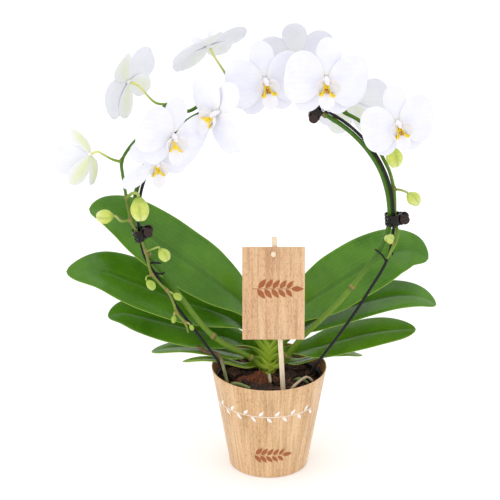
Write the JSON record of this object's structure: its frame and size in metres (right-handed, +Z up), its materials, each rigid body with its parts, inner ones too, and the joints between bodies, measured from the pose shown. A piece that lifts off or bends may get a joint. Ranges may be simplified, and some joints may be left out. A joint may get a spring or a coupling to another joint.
{
  "type": "potted moth orchid",
  "caption": "White moth orchid in a tapered wood-print pot cover, its two flower stems clipped round an upright wire hoop, with a blank tag on a splint.",
  "frame": {"origin": "centre of the pot cover's underside", "axes": "+Z up, -Y towards the viewer of the flowers, the wire hoop stands across X"},
  "size_m": [0.4267, 0.1493, 0.5174],
  "materials": {
    "cover": "oak-grain print, matt",
    "grower_pot": "matt black",
    "bark": "rough bark and fibre",
    "splint": "plain pale wood",
    "tag": "oak-grain print, matt",
    "peg": "pale, satin",
    "leaf": "waxy mid green",
    "crown": "waxy yellow green",
    "wire": "black ribbed coating",
    "stem": "waxy green",
    "bloom": "white petals, soft sheen",
    "bud": "yellow green, satin",
    "clip": "dark brown, glossy",
    "root": "grey green, matt"
  },
  "bodies": {
    "root": {"pot_cover": "cover", "grower_pot": "grower_pot", "bark": "bark", "tag_stick": "splint", "tag_board": "tag", "tag_peg": "peg", "leaf_left_1": "leaf", "leaf_left_2": "leaf", "leaf_left_3": "leaf", "leaf_left_4": "leaf", "leaf_left_5": "leaf", "leaf_right_1": "leaf", "leaf_right_2": "leaf", "leaf_right_3": "leaf", "leaf_right_4": "leaf", "crown": "crown", "wire_arch": "wire", "spike_right": "stem", "spike_left": "stem", "bloom_top_left": "bloom", "bloom_far_left": "bloom", "bloom_top_back": "bloom", "bloom_right_back": "bloom", "bloom_front_centre": "bloom", "bloom_front_right": "bloom", "bloom_right": "bloom", "bloom_left_centre": "bloom", "bloom_left": "bloom", "bloom_lower_left": "bloom", "bloom_opening": "bloom", "bud_right_1": "bud", "bud_right_2": "bud", "bud_right_3": "bud", "bud_left_1": "bud", "bud_left_2": "bud", "bud_left_3": "bud", "bud_left_4": "bud", "bud_left_5": "bud", "bud_left_6": "bud", "bud_left_7": "bud", "clip_left_front_jaw": "clip", "clip_left_rear_jaw": "clip", "clip_top_front_jaw": "clip", "clip_top_rear_jaw": "clip", "clip_right_front_jaw": "clip", "clip_right_rear_jaw": "clip", "clip_left_pin": "clip", "clip_top_pin": "clip", "clip_right_pin": "clip", "root_left": "root", "root_front_left": "root", "root_tip": "root", "root_right": "root", "root_back_right": "root"}
  },
  "joints": []
}
